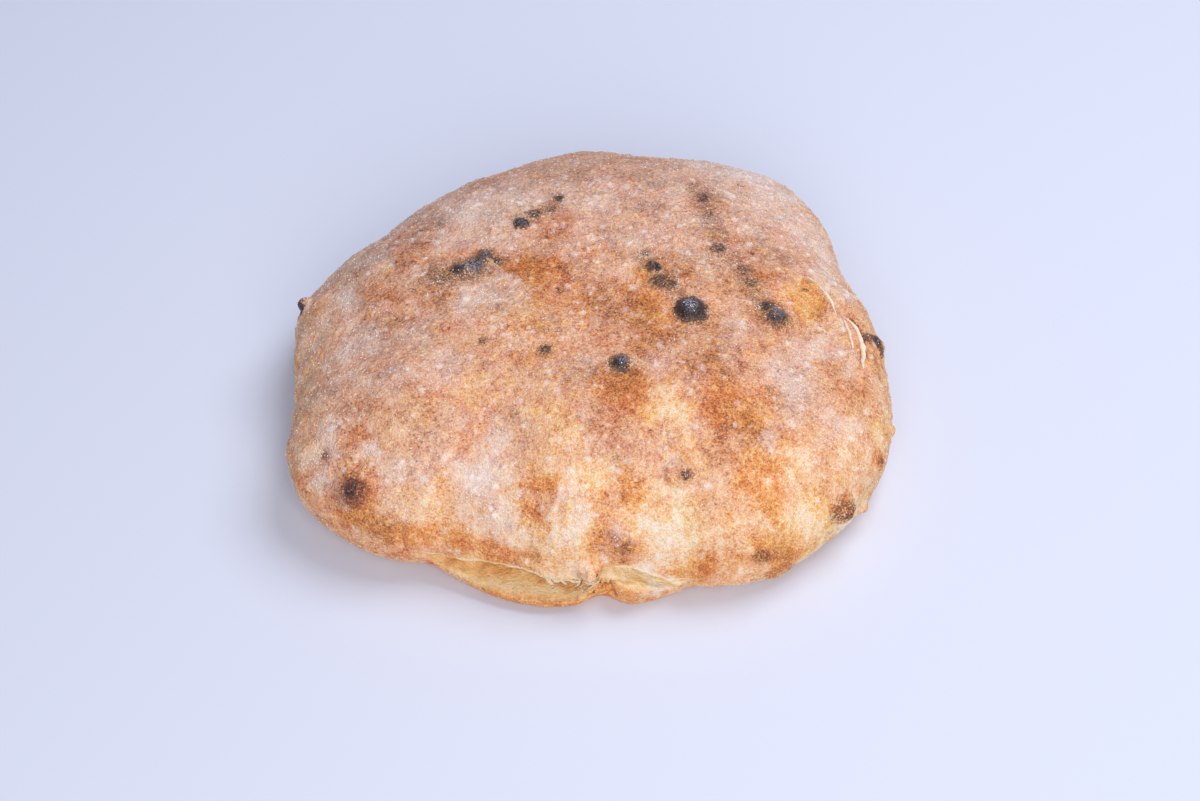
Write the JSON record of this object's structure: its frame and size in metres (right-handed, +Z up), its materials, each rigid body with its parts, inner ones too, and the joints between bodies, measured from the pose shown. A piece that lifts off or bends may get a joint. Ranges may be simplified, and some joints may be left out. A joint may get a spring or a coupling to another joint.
{
  "type": "lepinja flatbread",
  "caption": "Puffed round flatbread with a blistered, charred and floury crust, torn open along its front edge, resting on its flat base.",
  "frame": {"origin": "middle of the loaf's box, on the plane that its flat base rests on", "axes": "+Z up through the crown, -Y towards the torn front edge, +X along the longer way across the loaf"},
  "size_m": [0.2278, 0.2133, 0.0649],
  "materials": {
    "baked_crust": "matte, floury, with charred blisters"
  },
  "bodies": {
    "root": {"lepinja": "baked_crust"}
  },
  "joints": []
}
